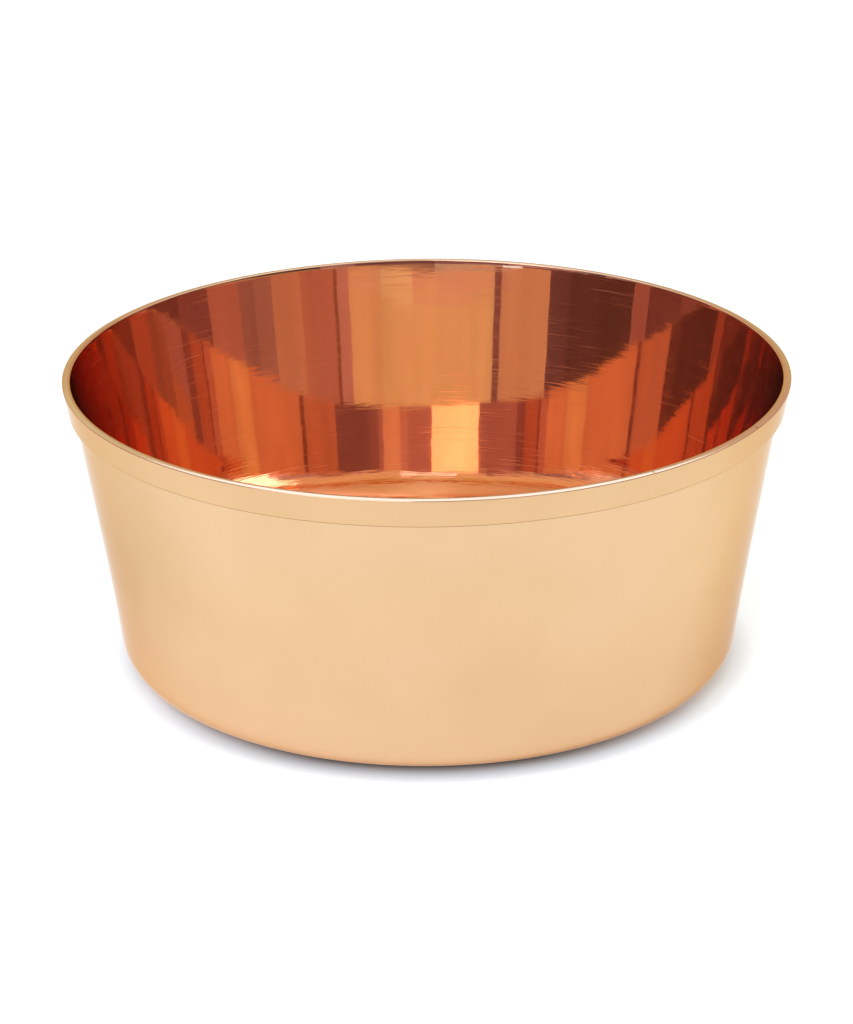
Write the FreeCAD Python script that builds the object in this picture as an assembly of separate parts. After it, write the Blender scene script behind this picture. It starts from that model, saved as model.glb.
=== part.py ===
import FreeCAD, Part
import math
import os

# Spun copper bowl: a shell drawn up from one sheet, and a strip of copper brazed round the outside
# of its mouth to stiffen it. Both are solids of revolution about Z. Millimetres, +Z up, with the
# origin at the centre of the flat base that the bowl rests on.

# Driving dimensions
RIM_DIAMETER = 220.0      # outside of the band at the mouth
HEIGHT = 91.0             # base to rim
SHEET = 0.6               # gauge of the shell
WALL_LEAN = 9.2           # degrees that the straight upper wall leans out
FOOT_LEAN = 7.2           # degrees that the wall leans out where it leaves the base corner
BEND_HEIGHT = 45.0        # below this height the wall curves gently in to the foot's lean
BASE_CORNER = 10.0        # outside radius of the corner between base and wall
BAND_HEIGHT = 8.3         # how far the band reaches down from the rim
BAND_THICKNESS = 1.85     # gauge of the band
BAND_LOWER_ROUND = 0.6    # worn lower edge of the band
RIM_OUTER_ROUND = 0.35    # polished outer edge of the rim
RIM_INNER_ROUND = 0.25    # burnished inner edge of the rim

AXIS_START = FreeCAD.Vector(0, 0, 0)
AXIS_DIRECTION = FreeCAD.Vector(0, 0, 1)


class Wall:
    """The wall's outer face in section: an arc from the foot to the bend, and straight from there to the mouth.

    The arc's centre is far outside the bowl. Faces that follow the wall lie at an offset from it,
    which is positive outwards.
    """

    def __init__(self):
        self.foot = math.radians(FOOT_LEAN)
        self.lean = math.radians(WALL_LEAN)
        foot_height = BASE_CORNER * (1 - math.sin(self.foot))
        self.radius = (BEND_HEIGHT - foot_height) / (math.sin(self.lean) - math.sin(self.foot))
        mouth_radius = RIM_DIAMETER / 2 - BAND_THICKNESS / math.cos(self.lean)
        bend_radius = mouth_radius - (HEIGHT - BEND_HEIGHT) * math.tan(self.lean)
        self.centre_r = bend_radius + self.radius * math.cos(self.lean)
        self.centre_z = BEND_HEIGHT - self.radius * math.sin(self.lean)

    def curved(self, lean, offset=0.0):
        """The point of the curved part where it leans by this angle, moved out by the offset."""
        reach = self.radius - offset
        return section_point(self.centre_r - reach * math.cos(lean), self.centre_z + reach * math.sin(lean))

    def bend(self, offset=0.0):
        return self.curved(self.lean, offset)

    def straight(self, height, offset=0.0):
        """The point of the straight part at this height, on the face at this offset."""
        start = self.bend(offset)
        return section_point(start.x + (height - start.z) * math.tan(self.lean), height)

    def arc(self, offset=0.0):
        """The curved part of the face at this offset, from the foot up to the bend."""
        middle = self.curved((self.foot + self.lean) / 2, offset)
        return arc_edge(self.curved(self.foot, offset), middle, self.bend(offset))


def section_point(radius, height):
    return FreeCAD.Vector(radius, 0, height)


def arc_edge(start, middle, end):
    return Part.Arc(start, middle, end).toShape()


def line_edge(start, end):
    return Part.LineSegment(start, end).toShape()


def corner_arc(centre, radius, start, end):
    """An arc in section about a centre, between two angles in radians measured from +X towards +Z."""
    points = []
    for angle in (start, (start + end) / 2, end):
        reach = FreeCAD.Vector(radius * math.cos(angle), 0, radius * math.sin(angle))
        points.append(centre + reach)
    return arc_edge(*points)


def revolve(edges):
    """Turn a closed section into a solid about Z."""
    section = Part.Face(Part.Wire(edges))
    return section.revolve(AXIS_START, AXIS_DIRECTION, 360)


def bowl_shell(wall):
    """The spun sheet: flat base, rounded corner and wall, of one gauge all over."""
    corner_centre = wall.curved(wall.foot, -BASE_CORNER)
    straight_down = -math.pi / 2
    outer_base = section_point(corner_centre.x, 0)
    inner_base = section_point(corner_centre.x, SHEET)
    outer_top = wall.straight(HEIGHT)
    inner_top = wall.straight(HEIGHT, -SHEET)
    edges = [
        line_edge(section_point(0, 0), outer_base),
        corner_arc(corner_centre, BASE_CORNER, straight_down, -wall.foot),
        wall.arc(),
        line_edge(wall.bend(), outer_top),
        line_edge(outer_top, inner_top),
        line_edge(inner_top, wall.bend(-SHEET)),
        wall.arc(-SHEET),
        corner_arc(corner_centre, BASE_CORNER - SHEET, -wall.foot, straight_down),
        line_edge(inner_base, section_point(0, SHEET)),
        line_edge(section_point(0, SHEET), section_point(0, 0)),
    ]
    return round_edge(revolve(edges), inner_top, RIM_INNER_ROUND)


def rim_band(wall):
    """The strip brazed round the mouth, flush with the shell's edge and parallel to the wall."""
    inner_low = wall.straight(HEIGHT - BAND_HEIGHT)
    across = FreeCAD.Vector(math.cos(wall.lean), 0, -math.sin(wall.lean)) * BAND_THICKNESS
    outer_low = inner_low + across
    inner_high = wall.straight(HEIGHT)
    outer_high = wall.straight(HEIGHT, BAND_THICKNESS)
    edges = [
        line_edge(inner_low, outer_low),
        line_edge(outer_low, outer_high),
        line_edge(outer_high, inner_high),
        line_edge(inner_high, inner_low),
    ]
    band = round_edge(revolve(edges), outer_low, BAND_LOWER_ROUND)
    return round_edge(band, outer_high, RIM_OUTER_ROUND)


def round_edge(solid, near, radius):
    """Round the ring-shaped edge of a turned solid that passes nearest to a point of the section."""
    marker = Part.Vertex(near)
    rings = [edge for edge in solid.Edges if edge.isClosed()]
    nearest = min(rings, key=lambda edge: edge.distToShape(marker)[0])
    return solid.makeFillet(radius, [nearest])


def main():
    os.makedirs("parts", exist_ok=True)
    wall = Wall()
    pieces = {
        "bowl_shell": bowl_shell(wall),
        "rim_band": rim_band(wall),
    }
    for name, shape in pieces.items():
        if not shape.isValid() or len(shape.Solids) != 1:
            raise RuntimeError(name + " is not one valid solid")
        shape.Solids[0].exportStep("parts/" + name + ".step")
        print("%s: %.1f cubic mm" % (name, shape.Volume))


main()
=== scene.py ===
import math

import bpy
from mathutils import Matrix, Vector, noise

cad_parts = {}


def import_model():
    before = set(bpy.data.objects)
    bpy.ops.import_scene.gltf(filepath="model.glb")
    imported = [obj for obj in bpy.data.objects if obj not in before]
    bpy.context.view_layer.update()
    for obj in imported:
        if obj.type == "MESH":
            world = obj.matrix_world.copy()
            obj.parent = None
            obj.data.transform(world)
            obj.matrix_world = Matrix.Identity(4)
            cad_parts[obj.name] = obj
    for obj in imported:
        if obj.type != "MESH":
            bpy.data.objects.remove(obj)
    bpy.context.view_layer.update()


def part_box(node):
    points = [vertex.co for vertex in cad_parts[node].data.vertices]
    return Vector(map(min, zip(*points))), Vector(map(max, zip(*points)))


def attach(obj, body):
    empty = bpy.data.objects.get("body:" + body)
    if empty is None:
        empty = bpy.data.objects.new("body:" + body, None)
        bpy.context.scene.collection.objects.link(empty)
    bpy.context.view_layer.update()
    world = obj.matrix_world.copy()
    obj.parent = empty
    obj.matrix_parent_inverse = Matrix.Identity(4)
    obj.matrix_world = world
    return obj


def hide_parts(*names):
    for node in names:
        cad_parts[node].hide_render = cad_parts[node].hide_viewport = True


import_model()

# The object's sizes, in metres. The CAD box gives the height, and the rest is the design's. The sections
# below follow them, apart from the rounding of the rim's face and the swell by the foot.
MM = 0.001
DEGREE = math.pi / 180
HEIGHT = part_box("bowl_shell")[1].z
RIM_RADIUS = 110 * MM
SHEET = 0.6 * MM
WALL_LEAN = 9.2 * DEGREE
FOOT_LEAN = 7.2 * DEGREE
BEND_HEIGHT = 45 * MM
BASE_CORNER = 10 * MM
BAND_HEIGHT = 8.3 * MM
BAND_THICKNESS = 1.85 * MM
BAND_LOWER_ROUND = 0.6 * MM

# Filing and polishing have rounded the rim's face over: it is highest a third of the way across, and
# falls away to both edges.
RIM_PEAK = 0.35
RIM_FALL = 1.5
RIM_OUTER_DROP = 0.30 * MM
RIM_INNER_DROP = 0.15 * MM
RIM_OUTER_INSET = 0.25 * MM
RIM_INNER_INSET = 0.20 * MM

# Spinning thins the sheet as it climbs the wall, so the inside stands in a little by the foot.
FOOT_SWELL = 0.24 * MM
SWELL_TOP = 30 * MM
SWELL_FULL = 9 * MM

# How finely the bowl is divided, round it and along its sections. The inside wall is the finest of the
# large faces, because its reflections of itself show every facet.
TURN_SEGMENTS = 480
INSIDE_SPACING = 1.1 * MM
FLOOR_SPACING = 2.2 * MM
OUTSIDE_SPACING = 3.0 * MM
BASE_SPACING = 15.0 * MM
BAND_SPACING = 0.8 * MM
BAND_EDGE_SPACING = 0.3 * MM
RIM_SPACING = 0.1 * MM
CORNER_STEPS = 16
RIM_TURN_STEPS = 8
BAND_ROUND_STEPS = 10


# ---------------------------------------------------------------- sections

class Wall:
    """The wall's outer face in section: an arc from the foot to the bend, and straight on to the mouth."""

    def __init__(self):
        foot_height = BASE_CORNER * (1 - math.sin(FOOT_LEAN))
        self.radius = (BEND_HEIGHT - foot_height) / (math.sin(WALL_LEAN) - math.sin(FOOT_LEAN))
        mouth_radius = RIM_RADIUS - BAND_THICKNESS / math.cos(WALL_LEAN)
        bend_radius = mouth_radius - (HEIGHT - BEND_HEIGHT) * math.tan(WALL_LEAN)
        self.centre = Vector((bend_radius + self.radius * math.cos(WALL_LEAN),
                              BEND_HEIGHT - self.radius * math.sin(WALL_LEAN)))

    def curved(self, lean, offset=0.0):
        """The point (radius, height) where the curved part leans by this angle, moved out by the offset."""
        return self.centre + Vector((-math.cos(lean), math.sin(lean))) * (self.radius - offset)

    def bend(self, offset=0.0):
        return self.curved(WALL_LEAN, offset)

    def straight(self, height, offset=0.0):
        """The point of the straight part at this height, on the face at this offset."""
        start = self.bend(offset)
        return Vector((start.x + (height - start.y) * math.tan(WALL_LEAN), height))

    def lower(self, spacing, offset=0.0):
        """Points up the curved part, from the foot to the bend."""
        count = round(BEND_HEIGHT / spacing)
        step = (WALL_LEAN - FOOT_LEAN) / count
        return [self.curved(FOOT_LEAN + step * i, offset) for i in range(count + 1)]

    def upper(self, top, spacing, offset=0.0):
        """Points up the straight part, from the bend to a height."""
        return straight(self.bend(offset), self.straight(top, offset), spacing)


def arc(centre, radius, start, end, count):
    """Points of an arc in section, between two angles measured from the +radius direction upwards."""
    points = []
    for i in range(count + 1):
        angle = start + (end - start) * i / count
        points.append(centre + Vector((math.cos(angle), math.sin(angle))) * radius)
    return points


def straight(start, end, spacing):
    """Points from start to end, both included."""
    count = max(1, round((end - start).length / spacing))
    return [start.lerp(end, i / count) for i in range(count + 1)]


def joined(*stretches):
    """One outline from several stretches, without the points that two of them share."""
    outline = []
    for stretch in stretches:
        for point in stretch:
            if not outline or (point - outline[-1]).length > 1e-6:
                outline.append(point)
    return outline


wall = Wall()
RIM_INNER = wall.straight(HEIGHT, -SHEET).x
RIM_JOINT = wall.straight(HEIGHT).x
RIM_OUTER = wall.straight(HEIGHT, BAND_THICKNESS).x


def swell(height):
    """How much further in the inside stands at this height than an even sheet would."""
    t = min(1.0, max(0.0, (SWELL_TOP - height) / (SWELL_TOP - SWELL_FULL)))
    return FOOT_SWELL * t * t * (3 - 2 * t)


def rim_height(radius):
    """The height of the rim's face at this radius."""
    across = (radius - RIM_INNER) / (RIM_OUTER - RIM_INNER)
    if across > RIM_PEAK:
        return HEIGHT - RIM_OUTER_DROP * ((across - RIM_PEAK) / (1 - RIM_PEAK)) ** RIM_FALL
    return HEIGHT - RIM_INNER_DROP * ((RIM_PEAK - across) / RIM_PEAK) ** RIM_FALL


def rim_point(radius):
    return Vector((radius, rim_height(radius)))


def rim_normal(radius):
    """Which way the rim's face looks at this radius, as an angle from the +radius direction upwards."""
    step = 0.01 * MM
    return math.pi / 2 + math.atan((rim_height(radius + step) - rim_height(radius - step)) / (2 * step))


def rim_face(start, end):
    """Points across the rim's face between two radii."""
    count = max(2, round(abs(end - start) / RIM_SPACING))
    return [rim_point(start + (end - start) * i / count) for i in range(count + 1)]


def rim_outer_turn():
    """The rounding from the band's outer face up to the rim's face, smooth at both ends."""
    edge = rim_point(RIM_OUTER - RIM_OUTER_INSET)
    angle = rim_normal(edge.x)
    gap = RIM_OUTER_INSET - (HEIGHT - edge.y) * math.tan(WALL_LEAN)
    radius = gap * math.cos(WALL_LEAN) / (1 - math.cos(angle + WALL_LEAN))
    centre = edge - Vector((math.cos(angle), math.sin(angle))) * radius
    return arc(centre, radius, -WALL_LEAN, angle, RIM_TURN_STEPS)


def rim_inner_turn():
    """The rounding from the rim's face down to the inner wall, smooth at both ends."""
    edge = rim_point(RIM_INNER + RIM_INNER_INSET)
    angle = rim_normal(edge.x)
    gap = RIM_INNER_INSET + (HEIGHT - edge.y) * math.tan(WALL_LEAN)
    radius = gap * math.cos(WALL_LEAN) / (1 + math.cos(angle + WALL_LEAN))
    centre = edge - Vector((math.cos(angle), math.sin(angle))) * radius
    return arc(centre, radius, angle, math.pi - WALL_LEAN, RIM_TURN_STEPS)


def shell_outside():
    """The sheet's outer side in section, from the centre of the underside to the rim's face."""
    corner = wall.curved(FOOT_LEAN, -BASE_CORNER)
    return joined(
        straight(Vector((0, 0)), Vector((corner.x, 0)), BASE_SPACING),
        arc(corner, BASE_CORNER, -math.pi / 2, -FOOT_LEAN, CORNER_STEPS),
        wall.lower(OUTSIDE_SPACING),
        wall.upper(HEIGHT - BAND_HEIGHT, OUTSIDE_SPACING),
        straight(wall.straight(HEIGHT - BAND_HEIGHT), rim_point(RIM_JOINT), OUTSIDE_SPACING),
    )


def shell_inside():
    """The sheet's inner side in section, from the rim's face to the centre of the floor."""
    corner = wall.curved(FOOT_LEAN, -BASE_CORNER)
    turn = rim_inner_turn()
    inner = joined(
        rim_face(RIM_JOINT, turn[0].x),
        turn,
        reversed(wall.upper(turn[-1].y, INSIDE_SPACING, -SHEET)),
        reversed(wall.lower(INSIDE_SPACING, -SHEET)),
        arc(corner, BASE_CORNER - SHEET, -FOOT_LEAN, -math.pi / 2, CORNER_STEPS),
    )
    floor_points = straight(Vector((corner.x, SHEET)), Vector((0, SHEET)), FLOOR_SPACING)
    return joined([Vector((p.x - swell(p.y), p.y)) for p in inner], floor_points[1:])


def band_outline():
    """The band's section, a closed loop: up its outer face, over the rim and down the shell's wall."""
    out = Vector((math.cos(WALL_LEAN), -math.sin(WALL_LEAN)))
    up = Vector((math.sin(WALL_LEAN), math.cos(WALL_LEAN)))
    low = wall.straight(HEIGHT - BAND_HEIGHT)
    low_centre = low + out * (BAND_THICKNESS - BAND_LOWER_ROUND) + up * BAND_LOWER_ROUND
    turn = rim_outer_turn()
    return joined(
        arc(low_centre, BAND_LOWER_ROUND, -math.pi / 2 - WALL_LEAN, -WALL_LEAN, BAND_ROUND_STEPS),
        straight(low_centre + out * BAND_LOWER_ROUND, turn[0], BAND_SPACING),
        turn,
        rim_face(turn[-1].x, RIM_JOINT),
        straight(rim_point(RIM_JOINT), low, OUTSIDE_SPACING),
        straight(low, low_centre - up * BAND_LOWER_ROUND, BAND_EDGE_SPACING),
    )


# ---------------------------------------------------------------- meshes

# Spinning and buffing leave the sheet very slightly uneven. It shows only in the reflections, as wavy
# and ragged borders, so each layer is given by how much it tilts the surface.
RIPPLES = (
    # length round the bowl, length along the section, tilt in radians
    (50 * MM, 20 * MM, 0.0024),
    (20 * MM, 7 * MM, 0.0030),
)
LAYERS_APART = 40.0


def ripple(x, y, along):
    """How far the surface stands out at a place, which 'along' says by its distance along the section."""
    height = 0.0
    for layer, (round_length, section_length, tilt) in enumerate(RIPPLES):
        place = Vector((x / round_length, y / round_length, along / section_length + LAYERS_APART * layer))
        height += noise.noise(place) * tilt * section_length / 2
    return height


def lathe(outline, closed=False, rippled=True):
    """Turns an outline about Z into points and faces. An open outline may start or end on the axis."""
    verts = []
    rings = []
    for index, point in enumerate(outline):
        if point.x < 1e-7:
            rings.append([len(verts)])
            verts.append((0, 0, point.y))
            continue
        tangent = outline[min(index + 1, len(outline) - 1)] - outline[max(index - 1, 0)]
        normal = Vector((tangent.y, -tangent.x)).normalized()
        side = 1 if normal.x > 0 else -1    # both faces of the wall move the same way
        ring = []
        for i in range(TURN_SEGMENTS):
            angle = 2 * math.pi * i / TURN_SEGMENTS
            x = point.x * math.cos(angle)
            y = point.x * math.sin(angle)
            out = ripple(x, y, point.x + point.y) * side if rippled else 0.0
            reach = point.x + normal.x * out
            ring.append(len(verts))
            verts.append((reach * math.cos(angle), reach * math.sin(angle), point.y + normal.y * out))
        rings.append(ring)
    pairs = list(zip(rings, rings[1:]))
    if closed:
        pairs.append((rings[-1], rings[0]))
    faces = []
    for low, high in pairs:
        faces.extend(bridge(low, high))
    return verts, faces


def bridge(low, high):
    """Faces between two rings, either of which may be a single point on the axis."""
    faces = []
    for i in range(TURN_SEGMENTS):
        j = (i + 1) % TURN_SEGMENTS
        if len(low) == 1:
            faces.append((low[0], high[j], high[i]))
        elif len(high) == 1:
            faces.append((low[i], low[j], high[0]))
        else:
            faces.append((low[i], low[j], high[j], high[i]))
    return faces


def mesh_piece(name, verts, faces, materials):
    mesh = bpy.data.meshes.new(name)
    mesh.from_pydata(verts, [], faces)
    mesh.validate()
    mesh.shade_smooth()
    for material in materials:
        mesh.materials.append(material)
    piece = bpy.data.objects.new(name, mesh)
    bpy.context.scene.collection.objects.link(piece)
    return piece


# ---------------------------------------------------------------- materials

class Nodes:
    """Short ways to add the nodes of one material."""

    def __init__(self, name):
        self.material = bpy.data.materials.new(name)
        self.material.use_nodes = True
        self.tree = self.material.node_tree
        self.shader = self.tree.nodes["Principled BSDF"]

    def set(self, socket, value):
        """Sets one of the shader's own sockets to a number or a colour."""
        self.shader.inputs[socket].default_value = value

    def link(self, source, target):
        self.tree.links.new(source, target)

    def feed(self, socket, value):
        """Sets a socket to a number or a colour, or links it to another node's output."""
        if isinstance(value, bpy.types.NodeSocket):
            self.link(value, socket)
        else:
            socket.default_value = value

    def math(self, operation, first, second=0.0):
        node = self.tree.nodes.new("ShaderNodeMath")
        node.operation = operation
        self.feed(node.inputs[0], first)
        self.feed(node.inputs[1], second)
        return node.outputs[0]

    def place(self):
        return self.tree.nodes.new("ShaderNodeTexCoord").outputs["Object"]

    def split_place(self):
        split = self.tree.nodes.new("ShaderNodeSeparateXYZ")
        self.link(self.place(), split.inputs[0])
        return split.outputs

    def distance_out(self):
        """How far a place is from the bowl's axis."""
        x, y, _ = self.split_place()
        square = self.math("ADD", self.math("MULTIPLY", x, x), self.math("MULTIPLY", y, y))
        return self.math("SQRT", square)

    def turned(self, across, along):
        """Coordinates that change slowly round the bowl and fast along its section, with no seam."""
        x, y, z = self.split_place()
        join = self.tree.nodes.new("ShaderNodeCombineXYZ")
        self.link(self.math("DIVIDE", x, across), join.inputs[0])
        self.link(self.math("DIVIDE", y, across), join.inputs[1])
        section = self.math("ADD", self.distance_out(), z)
        self.link(self.math("DIVIDE", section, along), join.inputs[2])
        return join.outputs[0]

    def noise(self, vector, scale=1.0, detail=3.0):
        node = self.tree.nodes.new("ShaderNodeTexNoise")
        self.link(vector, node.inputs["Vector"])
        node.inputs["Scale"].default_value = scale
        node.inputs["Detail"].default_value = detail
        return node.outputs["Fac"]

    def distance(self, place, point):
        node = self.tree.nodes.new("ShaderNodeVectorMath")
        node.operation = "DISTANCE"
        self.link(place, node.inputs[0])
        node.inputs[1].default_value = point
        return node.outputs["Value"]

    def between(self, value, low, high, to_low=0.0, to_high=1.0):
        """Maps low..high to to_low..to_high, and holds the ends."""
        node = self.tree.nodes.new("ShaderNodeMapRange")
        self.link(value, node.inputs["Value"])
        node.inputs["From Min"].default_value = low
        node.inputs["From Max"].default_value = high
        self.feed(node.inputs["To Min"], to_low)
        self.feed(node.inputs["To Max"], to_high)
        return node.outputs["Result"]

    def mix(self, factor, first, second):
        node = self.tree.nodes.new("ShaderNodeMix")
        node.data_type = "RGBA"
        self.feed(node.inputs["Factor"], factor)
        self.feed(node.inputs["A"], first)
        self.feed(node.inputs["B"], second)
        return node.outputs["Result"]

    def bump(self, height, distance):
        node = self.tree.nodes.new("ShaderNodeBump")
        node.inputs["Distance"].default_value = distance
        self.link(height, node.inputs["Height"])
        self.link(node.outputs["Normal"], self.shader.inputs["Normal"])


# Colours. COPPER is clean, DULLED has begun to tarnish, and EDGE is the tint at a low angle.
INSIDE_COPPER = (0.89, 0.503, 0.31, 1)
INSIDE_DULLED = (0.87, 0.47, 0.275, 1)
INSIDE_EDGE = (0.84, 0.52, 0.36, 1)
# OUTSIDE and BAND are the inside's copper, darkened as painted shade to offset the overexposed floor they
# mirror.
OUTSIDE_SHADED_COPPER = (0.715, 0.452, 0.252, 1)
OUTSIDE_SHADED_DULLED = (0.69, 0.427, 0.226, 1)
OUTSIDE_EDGE = (0.85, 0.68, 0.53, 1)
BAND_SHADED_COPPER = (0.70, 0.425, 0.222, 1)
BAND_SHADED_DULLED = (0.67, 0.40, 0.20, 1)
SATIN_COPPER = (0.97, 0.72, 0.49, 1)
SATIN_DARK = (0.92, 0.60, 0.37, 1)
RIM_FACE = (0.62, 0.352, 0.187, 1)
# Painted shade, for the crease at the band's lower edge and the voids in the rim's face.
SEAM_SHADE = (0.38, 0.21, 0.10, 1)

# Marks of spinning, buffing and brushing: their lengths round the bowl and along its section.
WAVE_SIZE = (12 * MM, 2.2 * MM)
LINE_SIZE = (26 * MM, 0.45 * MM)
SCRATCH_SIZE = (20 * MM, 0.28 * MM)
BRUSH_SIZE = (45 * MM, 0.9 * MM)

# Marks with no direction, by about how many there are to a metre.
TARNISH_SCALE = 28.0
WEAR_SCALE = 45.0
RAGGED_SCALE = 700.0

# How far each noise rises before its mark begins to show, and shows in full.
LINES_SHOW = (0.35, 0.75)
SCRATCHES_SHOW = (0.57, 0.72)
TARNISH_SHOWS = (0.42, 0.72)
WEAR_SHOWS = (0.42, 0.62)
BRUSH_DARKENS = (0.35, 0.60)
BRUSH_ROUGHENS = (0.3, 0.7)

# The relief is in units of its own, the bump's distance.
RELIEF_UNIT = 0.0009 * MM
WAVE_RELIEF = 9.0
LINE_RELIEF = 2.4

# Roughness: what the fine lines and the filed rim add to the polish, how little of the scratches shows
# where there is least wear, and the range of the brushed floor.
METALLIC = 0.985
LINE_ROUGHNESS = 0.02
RIM_ROUGHNESS = 0.06
LEAST_WORN = 0.35
SATIN_ROUGHNESS = (0.54, 0.66)
SATIN_ANISOTROPY = 0.9
QUARTER_TURN = 0.25

# Between these heights the metal takes on the colour and the roughness of the rim's face.
RIM_FACE_LOW = HEIGHT - 0.7 * MM
RIM_FACE_FULL = HEIGHT - 0.35 * MM

# Painted shade in the crease at the band's brazed lower edge: a thin dark line with a ragged upper border.
SEAM_TOP = HEIGHT - BAND_HEIGHT + 0.1 * MM
SEAM_FADE = 0.25 * MM
SEAM_RAGGED = 0.3 * MM

# Painted shade of two small voids in the brazing at the rim's face, at these angles from the front to the
# right.
PIT_TURNS = (35 * DEGREE, 60 * DEGREE)
PIT_RADIUS = 109.2 * MM
PIT_HEIGHT = HEIGHT - 0.15 * MM
PIT_DARK = 0.35 * MM
PIT_FADE = 0.7 * MM


def spun_metal(name, edge):
    """A metal with the relief of spinning. Gives its nodes and the noise of its fine lines."""
    nodes = Nodes(name)
    nodes.set("Metallic", METALLIC)
    nodes.set("Specular Tint", edge)
    waves = nodes.noise(nodes.turned(*WAVE_SIZE), detail=2.5)
    lines = nodes.noise(nodes.turned(*LINE_SIZE), detail=2.0)
    relief = nodes.math("ADD", nodes.math("MULTIPLY", waves, WAVE_RELIEF),
                        nodes.math("MULTIPLY", lines, LINE_RELIEF))
    nodes.bump(relief, RELIEF_UNIT)
    return nodes, lines


def polish(nodes, lines, gloss, scratched):
    """The roughness of a mirror polish, with fine lines, and with buffing scratches in patches."""
    fine = nodes.between(lines, *LINES_SHOW, gloss, gloss + LINE_ROUGHNESS)
    patches = nodes.noise(nodes.place(), scale=WEAR_SCALE, detail=2.0)
    worn = nodes.between(patches, *WEAR_SHOWS, LEAST_WORN * scratched, scratched)
    scratches = nodes.noise(nodes.turned(*SCRATCH_SIZE), detail=1.5)
    return nodes.math("ADD", fine, nodes.between(scratches, *SCRATCHES_SHOW, 0.0, worn))


def paint_seam_shade(nodes, colour):
    """The colour, with painted shade along the crease at the seam and in the pits."""
    place = nodes.place()
    ragged = nodes.math("MULTIPLY", nodes.noise(place, scale=RAGGED_SCALE), SEAM_RAGGED)
    height = nodes.math("ADD", nodes.split_place()[2], ragged)
    colour = nodes.mix(nodes.between(height, SEAM_TOP + SEAM_FADE, SEAM_TOP), colour, SEAM_SHADE)
    for turn in PIT_TURNS:
        pit = (PIT_RADIUS * math.sin(turn), -PIT_RADIUS * math.cos(turn), PIT_HEIGHT)
        clear = nodes.between(nodes.distance(place, pit), PIT_DARK, PIT_FADE)
        colour = nodes.mix(clear, SEAM_SHADE, colour)
    return colour


def polished_copper(name, base, dulled, edge, gloss, scratched, brazed=False):
    """Mirror-polished copper: faint turning lines, buffing scratches and slight staining.

    base and dulled are its colours where it is clean and where it has begun to tarnish, and edge tints it
    where it is seen at a low angle. gloss is its lowest roughness, and scratched says how much the buffing
    scratches show.
    """
    nodes, lines = spun_metal(name, edge)
    clouds = nodes.noise(nodes.place(), scale=TARNISH_SCALE, detail=4.0)
    colour = nodes.mix(nodes.between(clouds, *TARNISH_SHOWS), base, dulled)
    rim = nodes.between(nodes.split_place()[2], RIM_FACE_LOW, RIM_FACE_FULL)
    colour = nodes.mix(rim, colour, RIM_FACE)
    # Painted shade along the band's lower edge and in the pits of its rim.
    if brazed:
        colour = paint_seam_shade(nodes, colour)
    roughness = nodes.math("ADD", polish(nodes, lines, gloss, scratched),
                           nodes.math("MULTIPLY", rim, RIM_ROUGHNESS))
    nodes.link(colour, nodes.shader.inputs["Base Color"])
    nodes.link(roughness, nodes.shader.inputs["Roughness"])
    return nodes.material


def satin_copper():
    """The copper of the floor inside, brushed round and round."""
    nodes, _ = spun_metal("copper_satin", INSIDE_EDGE)
    rings = nodes.noise(nodes.turned(*BRUSH_SIZE), detail=3.0)
    colour = nodes.mix(nodes.between(rings, *BRUSH_DARKENS), SATIN_COPPER, SATIN_DARK)
    roughness = nodes.between(rings, *BRUSH_ROUGHENS, *SATIN_ROUGHNESS)
    nodes.link(colour, nodes.shader.inputs["Base Color"])
    nodes.link(roughness, nodes.shader.inputs["Roughness"])
    nodes.set("Anisotropic", SATIN_ANISOTROPY)
    nodes.set("Anisotropic Rotation", QUARTER_TURN)
    tangent = nodes.tree.nodes.new("ShaderNodeTangent")
    tangent.direction_type = "RADIAL"
    tangent.axis = "Z"
    nodes.link(tangent.outputs[0], nodes.shader.inputs["Tangent"])
    return nodes.material


# ---------------------------------------------------------------- the bowl

# The slots of the shell's materials, and the height below which its inside is the brushed floor.
INSIDE_SLOT = 1
SATIN_SLOT = 2
SATIN_BELOW = 1.1 * MM


def shell():
    """The spun sheet: outside, inside, and the brushed floor of the inside."""
    outside = shell_outside()
    verts, faces = lathe(joined(outside, shell_inside()))
    piece = mesh_piece("shell", verts, faces, [
        polished_copper("copper_outside_shaded", OUTSIDE_SHADED_COPPER, OUTSIDE_SHADED_DULLED, OUTSIDE_EDGE,
                        gloss=0.05, scratched=0.05),
        polished_copper("copper_inside", INSIDE_COPPER, INSIDE_DULLED, INSIDE_EDGE,
                        gloss=0.008, scratched=0.22),
        satin_copper(),
    ])
    first_inside = TURN_SEGMENTS * (len(outside) - 1)
    for index, polygon in enumerate(piece.data.polygons):
        if index >= first_inside:
            polygon.material_index = SATIN_SLOT if polygon.center.z < SATIN_BELOW else INSIDE_SLOT
    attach(piece, "root")
    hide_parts("bowl_shell")


def band():
    """The strip brazed round the outside of the mouth."""
    verts, faces = lathe(band_outline(), closed=True, rippled=False)
    material = polished_copper("copper_band", BAND_SHADED_COPPER, BAND_SHADED_DULLED, OUTSIDE_EDGE,
                               gloss=0.05, scratched=0.05, brazed=True)
    piece = mesh_piece("band", verts, faces, [material])
    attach(piece, "root")
    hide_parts("rim_band")


# ---------------------------------------------------------------- the stage

CAMERA_DISTANCE = 0.99
CAMERA_ELEVATION = 21.79 * DEGREE
CAMERA_ROLL = 0.41 * DEGREE
CAMERA_LENS = 113.0
CAMERA_SENSOR = 36.0
CAMERA_CLIP = (0.05, 50.0)
AIM = Vector((-0.32 * MM, 0, HEIGHT / 2 - 2.0 * MM))


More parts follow.
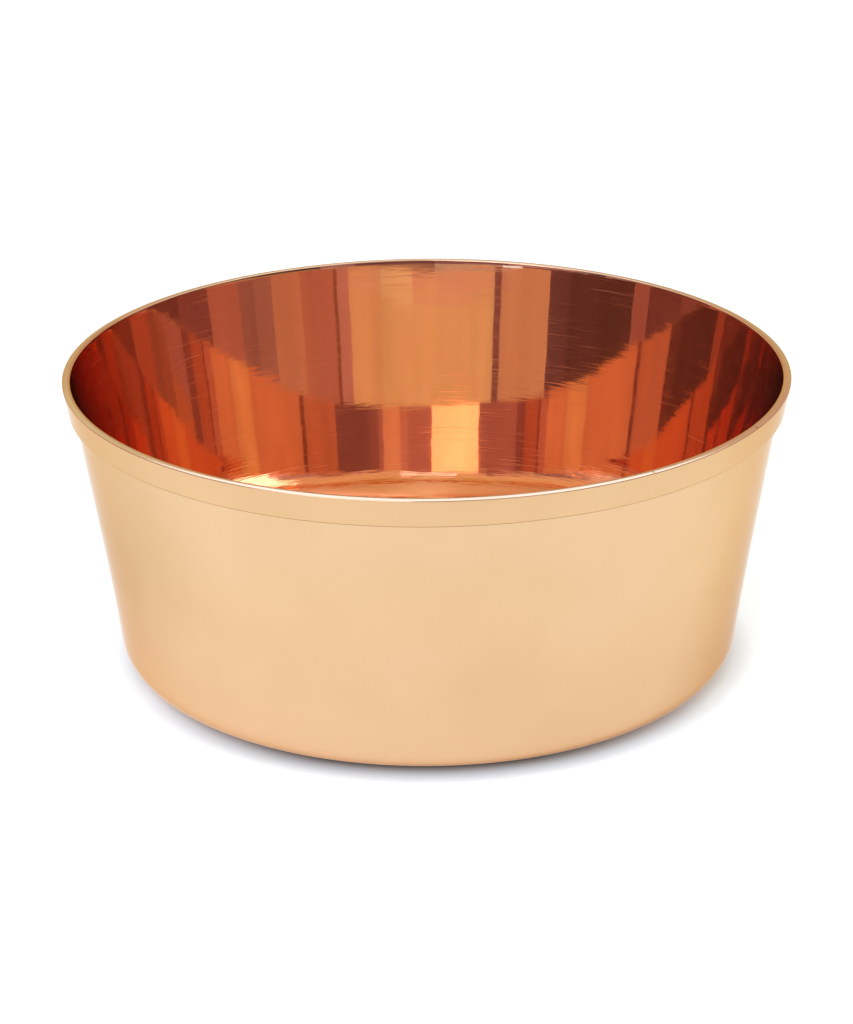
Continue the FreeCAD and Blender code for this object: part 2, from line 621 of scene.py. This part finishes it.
def camera():
    """The camera, which looks down at the bowl from the front."""
    data = bpy.data.cameras.new("camera")
    data.lens = CAMERA_LENS
    data.sensor_width = CAMERA_SENSOR
    data.clip_start, data.clip_end = CAMERA_CLIP
    item = bpy.data.objects.new("camera", data)
    bpy.context.scene.collection.objects.link(item)
    back = Vector((0, -math.cos(CAMERA_ELEVATION), math.sin(CAMERA_ELEVATION)))
    item.location = Vector((0, 0, HEIGHT / 2)) + back * CAMERA_DISTANCE
    look = (AIM - item.location).to_track_quat("-Z", "Y").to_matrix().to_4x4()
    item.matrix_world = Matrix.Translation(item.location) @ look @ Matrix.Rotation(-CAMERA_ROLL, 4, "Z")
    bpy.context.scene.camera = item


# The floor glows a little, a painted light as if overexposed, and less so further out.
# A painted shade dims that glow to the left of the bowl.
FLOOR_SIZE = 6.0
FLOOR_COLOUR = (0.90, 0.92, 0.84, 1)
FLOOR_ROUGHNESS = 0.9
GLOW_NEAR = 0.34
GLOW_FAR = 0.20
GLOW_FADES = (120 * MM, 260 * MM)
DIM_LEFT = 0.24
DIM_ACROSS = (-150 * MM, -70 * MM)
DIM_BACKWARDS = (-100 * MM, 0.0)
DIM_OUTWARDS = (140 * MM, 260 * MM)


def floor():
    """The pale floor that the bowl stands on."""
    nodes = Nodes("floor_white")
    nodes.set("Base Color", FLOOR_COLOUR)
    nodes.set("Roughness", FLOOR_ROUGHNESS)
    nodes.set("Specular IOR Level", 0.0)
    nodes.set("Emission Color", (1, 1, 1, 1))
    # Painted light and shade in the emission: brighter near the bowl, dimmer to its left.
    distance = nodes.distance_out()
    x, y, _ = nodes.split_place()
    painted_glow = nodes.between(distance, *GLOW_FADES, GLOW_NEAR, GLOW_FAR)
    painted_shade = nodes.math("MULTIPLY", nodes.between(x, *DIM_ACROSS, DIM_LEFT, 0.0),
                     nodes.between(y, *DIM_BACKWARDS, 0.0, 1.0))
    painted_shade = nodes.math("MULTIPLY", painted_shade, nodes.between(distance, *DIM_OUTWARDS, 1.0, 0.0))
    nodes.link(nodes.math("SUBTRACT", painted_glow, painted_shade), nodes.shader.inputs["Emission Strength"])
    corners = [(-FLOOR_SIZE, -FLOOR_SIZE, 0), (FLOOR_SIZE, -FLOOR_SIZE, 0),
               (FLOOR_SIZE, FLOOR_SIZE, 0), (-FLOOR_SIZE, FLOOR_SIZE, 0)]
    mesh_piece("floor", corners, [(0, 1, 2, 3)], [nodes.material])


# The contact shadow fades outwards from under the bowl's corner, and from the front backwards.
SHADOW_START = 87 * MM
SHADOW_END = 101.5 * MM
SHADOW_INNER = SHADOW_START - 4 * MM
SHADOW_OUTER = SHADOW_END + 2 * MM
SHADOW_RISE = 0.02 * MM
SHADOW_FRONT = 0.95
SHADOW_BACK = 0.40
SHADOW_FADES = (-84 * MM, -40 * MM)


def contact_shadow():
    """The shadow where the bowl touches the floor: a film on it, which the polished wall doesn't mirror."""
    nodes = Nodes("shadow_film")
    nodes.set("Base Color", (0, 0, 0, 1))
    nodes.set("Specular IOR Level", 0.0)
    fade = nodes.between(nodes.distance_out(), SHADOW_START, SHADOW_END, 1.0, 0.0)
    depth = nodes.between(nodes.split_place()[1], *SHADOW_FADES, SHADOW_FRONT, SHADOW_BACK)
    nodes.link(nodes.math("MULTIPLY", fade, depth), nodes.shader.inputs["Alpha"])
    verts = []
    for i in range(TURN_SEGMENTS):
        turn = 2 * math.pi * i / TURN_SEGMENTS
        for radius in (SHADOW_INNER, SHADOW_OUTER):
            verts.append((radius * math.cos(turn), radius * math.sin(turn), SHADOW_RISE))
    count = len(verts)
    faces = [(i, i + 1, (i + 3) % count, (i + 2) % count) for i in range(0, count, 2)]
    film = mesh_piece("contact_shadow", verts, faces, [nodes.material])
    film.visible_glossy = False
    film.visible_diffuse = False
    film.visible_shadow = False


# Cards stand in a ring round the bowl and light it. Angles are in degrees: round from straight behind
# the bowl, positive to the right, and up from the floor. The brightness of the floor is about 1. The
# upper part of the bowl's inside mirrors cards lower than about 20 degrees and the lower part those
# above, so many cards are parted there.
CARD_RING = 3.0
CARD_STEP = 4.0
MOTTLE_SCALE = 1.3
MOTTLE_SHOWS = (0.3, 0.7)
MOTTLE_STRENGTH = (0.9, 1.1)
CARDS = (
    # name, from, to, low, high, colour
    ("backdrop_left", -51, -30, 0, 20.5, (0.89, 0.88, 0.75)),
    ("backdrop", -30, 45.0, 0, 20.5, (0.90, 0.99, 0.80)),
    ("backdrop_top_a", -51, -30, 20.5, 35, (0.93, 0.90, 0.97)),
    ("backdrop_top_b", -30, -9, 20.5, 35, (1.0, 1.22, 1.2)),
    ("backdrop_top_c", -9, 45.0, 20.5, 35, (0.90, 0.84, 0.94)),
    ("backdrop_edge", 45.0, 49.6, 0, 35, (0.30, 0.18, 0.27)),
    ("right_wall", 49.6, 83, 0, 20.5, (0.72, 0.64, 0.60)),
    ("right_wall_top", 49.6, 83, 20.5, 36, (0.68, 0.58, 0.72)),
    ("right_flag_near", 83, 97, 3.5, 24, (0.165, 0.10, 0.165)),
    ("right_flag", 97, 118, 3.5, 24, (0.13, 0.07, 0.10)),
    ("right_flag_top", 83, 118, 24, 40, (0.30, 0.27, 0.60)),
    ("right_flag_low", 118, 144, 3.5, 22, (0.12, 0.06, 0.07)),
    ("right_shade", 118, 128, 22, 40, (0.37, 0.34, 0.76)),
    ("right_shade_edge", 128, 133, 22, 40, (0.55, 0.52, 1.1)),
    ("right_window", 133, 151, 22, 42, (1.03, 1.30, 1.9)),
    ("right_window_side", 151, 159, 22, 42, (0.85, 0.90, 1.6)),
    ("front_wall", 159, 185, 20, 42, (0.70, 0.70, 1.4)),
    ("front_low_a", 144, 156, 3.5, 22, (0.42, 0.23, 0.30)),
    ("front_low_b", 156, 183, 3.5, 20, (0.19, 0.085, 0.11)),
    ("front_low_c", 183, 208, 3.5, 21, (0.27, 0.13, 0.18)),
    ("front_low_d", 208, 232, 3.5, 21, (0.51, 0.29, 0.34)),
    ("left_dark_low", 232, 243, 3.5, 21, (0.37, 0.25, 0.34)),
    ("horizon_right", 83, 144, 0, 3.5, (0.46, 0.27, 0.16)),
    ("horizon_a", 144, 150, 0, 3.5, (0.60, 0.46, 0.33)),
    ("horizon_b", 150, 164, 0, 3.5, (0.46, 0.29, 0.20)),
    ("horizon_c", 164, 183, 0, 3.5, (0.35, 0.19, 0.15)),
    ("horizon_d", 183, 206, 0, 3.5, (0.57, 0.42, 0.34)),
    ("horizon_e", 206, 213, 0, 3.5, (1.05, 1.40, 1.8)),
    ("horizon_f", 213, 243, 0, 3.5, (0.12, 0.06, 0.06)),
    ("front_softbox", 185, 235, 21.5, 62, (3.6, 4.4, 6.2)),
    ("left_wall_far", 235, 244, 21, 42, (0.56, 0.56, 1.2)),
    ("left_panel_edge", 243, 256, 0, 21, (0.45, 0.32, 0.41)),
    ("left_panel_low", 256, 276, 0, 21, (0.66, 0.48, 0.47)),
    ("left_panel", 244, 276, 21, 42, (0.53, 0.48, 1.0)),
    ("left_notch_low", 276, 285, 0, 20, (0.58, 0.35, 0.38)),
    ("left_notch", 276, 285, 20, 42, (0.33, 0.22, 0.42)),
    ("left_wall_low", 285, 298.8, 0, 42, (0.58, 0.35, 0.40)),
    ("left_line", 298.8, 301.2, 0, 42, (0.32, 0.17, 0.15)),
    ("left_wall", 301.2, 309, 0, 20.5, (0.64, 0.47, 0.62)),
    ("left_wall_top", 301.2, 309, 20.5, 42, (0.68, 0.53, 0.80)),
    ("back_softbox", -22, 24, 37, 56, (2.0, 2.8, 4.6)),
    ("ceiling", -180, 180, 74, 86, (0.82, 0.80, 0.45)),
)


def card(name, start, end, low, high, colour):
    """A bright or dark card on the ring, seen by the bowl but not straight from the camera."""
    steps = max(2, round((end - start) / CARD_STEP))
    verts = []
    for i in range(steps + 1):
        turn = (start + (end - start) * i / steps) * DEGREE
        for rise in (low, high):
            verts.append((CARD_RING * math.sin(turn), CARD_RING * math.cos(turn),
                          CARD_RING * math.tan(rise * DEGREE)))
    faces = [(2 * i, 2 * i + 2, 2 * i + 3, 2 * i + 1) for i in range(steps)]
    nodes = Nodes(name)
    nodes.set("Base Color", (0, 0, 0, 1))
    nodes.set("Specular IOR Level", 0.0)
    nodes.set("Emission Color", (*colour, 1))
    mottle = nodes.noise(nodes.place(), scale=MOTTLE_SCALE, detail=3.0)
    strength = nodes.between(mottle, *MOTTLE_SHOWS, *MOTTLE_STRENGTH)
    nodes.link(strength, nodes.shader.inputs["Emission Strength"])
    item = mesh_piece(name, verts, faces, [nodes.material])
    item.visible_camera = False


WORLD_COLOUR = (1.0, 1.06, 0.95, 1)


def world():
    """The white studio round and above the cards."""
    item = bpy.data.worlds.new("studio")
    item.use_nodes = True
    background = item.node_tree.nodes["Background"]
    background.inputs["Color"].default_value = WORLD_COLOUR
    background.inputs["Strength"].default_value = 1.0
    bpy.context.scene.world = item


# ---------------------------------------------------------------- the scene

shell()
band()
floor()
contact_shadow()
for entry in CARDS:
    card(*entry)
world()
camera()
bpy.context.scene.view_settings.view_transform = "Standard"
bpy.context.scene.cycles.glossy_bounces = 16    # the wall mirrors itself several times near the sides
